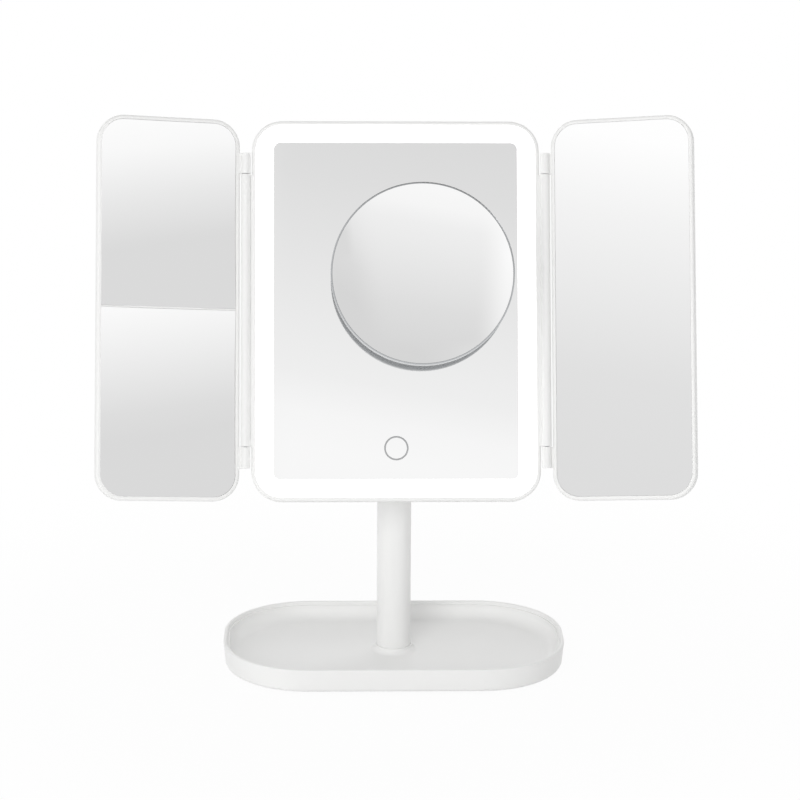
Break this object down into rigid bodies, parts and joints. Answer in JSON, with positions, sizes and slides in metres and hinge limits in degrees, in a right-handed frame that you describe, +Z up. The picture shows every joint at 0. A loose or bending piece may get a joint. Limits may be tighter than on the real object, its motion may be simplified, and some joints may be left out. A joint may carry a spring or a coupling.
{
  "type": "trifold vanity mirror",
  "caption": "Free-standing trifold vanity mirror with a lit centre panel, folding side wings, a clip-on round magnifier and a tilting post on a tray base.",
  "frame": {"origin": "middle of the base's resting face, on the table", "axes": "+Z up, the mirror faces -Y, +X to the viewer's right; 1 unit is 1 metre"},
  "size_m": [0.3537, 0.1357, 0.3412],
  "materials": {
    "white_gloss": "glossy white ABS, injection moulded",
    "white_satin": "satin white ABS, injection moulded",
    "light_plate": "frosted opal acrylic, lit from behind",
    "mirror_glass": "back-silvered glass with ground edges",
    "touch_mark": "etched ring in the silvering",
    "foam_tape": "closed-cell foam tape",
    "silver_plastic": "silver-grey painted ABS",
    "chrome_ring": "polished chrome-plated ring",
    "cup_rubber": "soft translucent PVC",
    "pad_rubber": "non-slip EVA foam sheet",
    "steel": "zinc-plated steel",
    "circuit_board": "glass-fibre board with green solder mask",
    "led_strip": "glass-fibre board with white solder mask",
    "led": "phosphor-filled lamp",
    "cell_can": "plain foil-wrapped dry cell"
  },
  "bodies": {
    "stand": {"tray": "white_gloss", "base_cover": "white_satin", "ballast": "steel", "base_pad": "pad_rubber", "base_screws": "steel", "post_tube": "white_gloss", "post_foot": "steel", "post_bolt": "steel", "tilt_knuckle": "white_gloss"},
    "head": {"tilt_axle": "steel", "tilt_washers": "steel", "axle_nut": "steel", "ear_caps": "white_gloss", "centre_bezel": "white_gloss", "light_diffuser": "light_plate", "centre_mirror": "mirror_glass", "touch_ring": "touch_mark", "mirror_tape": "foam_tape", "mirror_carrier": "white_satin", "led_board": "led_strip", "leds": "led", "control_board": "circuit_board", "touch_contact": "foam_tape", "usb_socket": "steel", "back_shell": "white_gloss", "back_screws": "steel", "cells": "cell_can", "battery_contacts": "steel", "hinge_pins": "steel"},
    "battery_cover": {"battery_door": "white_gloss"},
    "left_wing": {"left_wing_shell": "white_gloss", "left_mirror_pads": "foam_tape", "left_upper_mirror": "mirror_glass", "left_lower_mirror": "mirror_glass"},
    "right_wing": {"right_wing_shell": "white_gloss", "right_mirror_tape": "foam_tape", "right_mirror": "mirror_glass"},
    "magnifier": {"magnifier_shell": "silver_plastic", "magnifier_ring": "chrome_ring", "magnifier_mirror": "mirror_glass", "suction_cups": "cup_rubber"}
  },
  "joints": [
    {"name": "head_tilt", "type": "hinge", "parent": "stand", "child": "head", "pos_m": [0, 0.0035, 0.176], "axis": [-1, 0, 0], "range_deg": [-25, 70]},
    {"name": "left_wing_hinge", "type": "hinge", "parent": "head", "child": "left_wing", "pos_m": [-0.0895, -0.01432, 0.22718], "axis": [0, -0.342, -0.9397], "range_deg": [-138, 15.5]},
    {"name": "right_wing_hinge", "type": "hinge", "parent": "head", "child": "right_wing", "pos_m": [0.0895, -0.01432, 0.22718], "axis": [0, 0.342, 0.9397], "range_deg": [-110, 17]},
    {"name": "magnifier_pull", "type": "slide", "parent": "head", "child": "magnifier", "axis": [0, -0.9397, 0.342], "range_m": [0, 0.04]},
    {"name": "battery_door_slide", "type": "slide", "parent": "head", "child": "battery_cover", "axis": [0, 0.342, 0.9397], "range_m": [0, 0.0045]}
  ]
}
